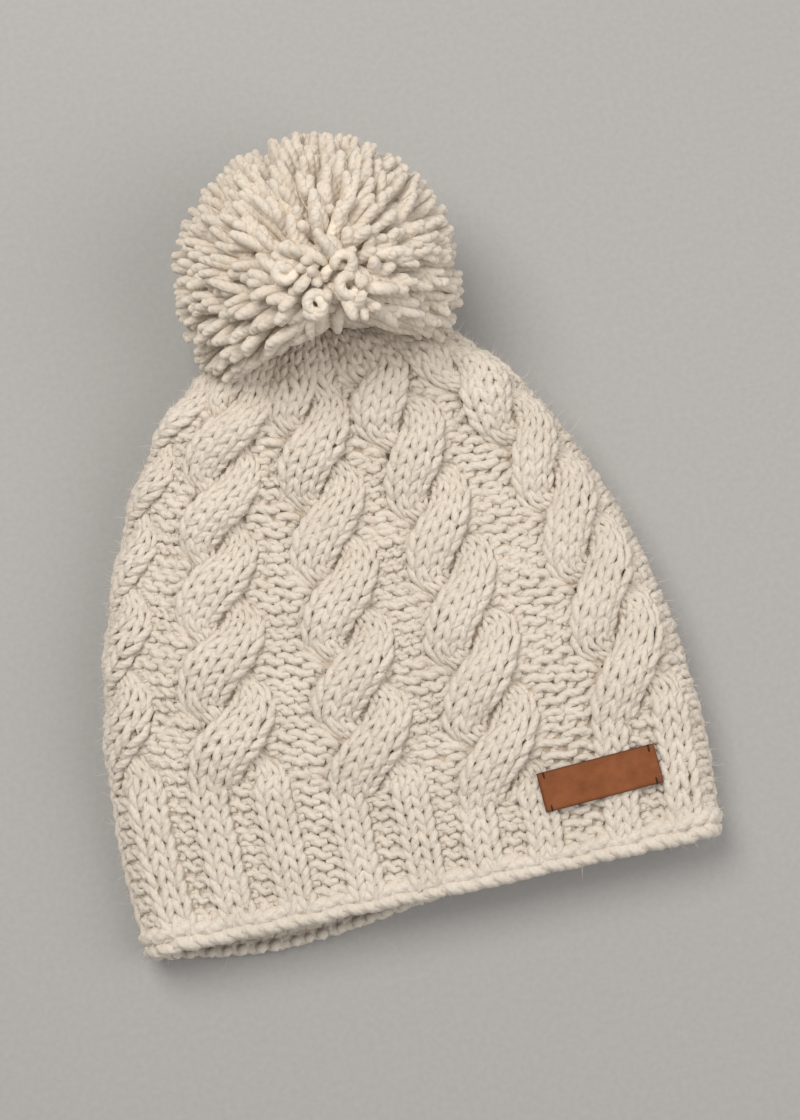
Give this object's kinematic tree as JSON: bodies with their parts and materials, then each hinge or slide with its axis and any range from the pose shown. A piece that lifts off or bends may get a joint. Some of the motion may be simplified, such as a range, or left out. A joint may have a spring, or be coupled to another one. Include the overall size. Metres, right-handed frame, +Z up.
{
  "type": "knitted pom-pom hat",
  "caption": "Chunky cream cable-knit winter hat lying flat, with a ribbed band, a round yarn pom-pom and a plain leather patch.",
  "frame": {"origin": "on the floor plane under the middle of the hat's bounding box", "axes": "+Y from the head opening to the pom-pom, +X to the wearer-side right as seen from above, +Z up out of the front of the lying hat"},
  "size_m": [0.2464, 0.315, 0.1032],
  "materials": {
    "wool_knit": "matte fuzzy chunky wool",
    "cut_wool": "matte fuzzy cut yarn ends",
    "leather": "semi-matte tan leather"
  },
  "bodies": {
    "root": {"crown": "wool_knit", "band": "wool_knit", "pompom": "cut_wool", "label": "leather"}
  },
  "joints": []
}
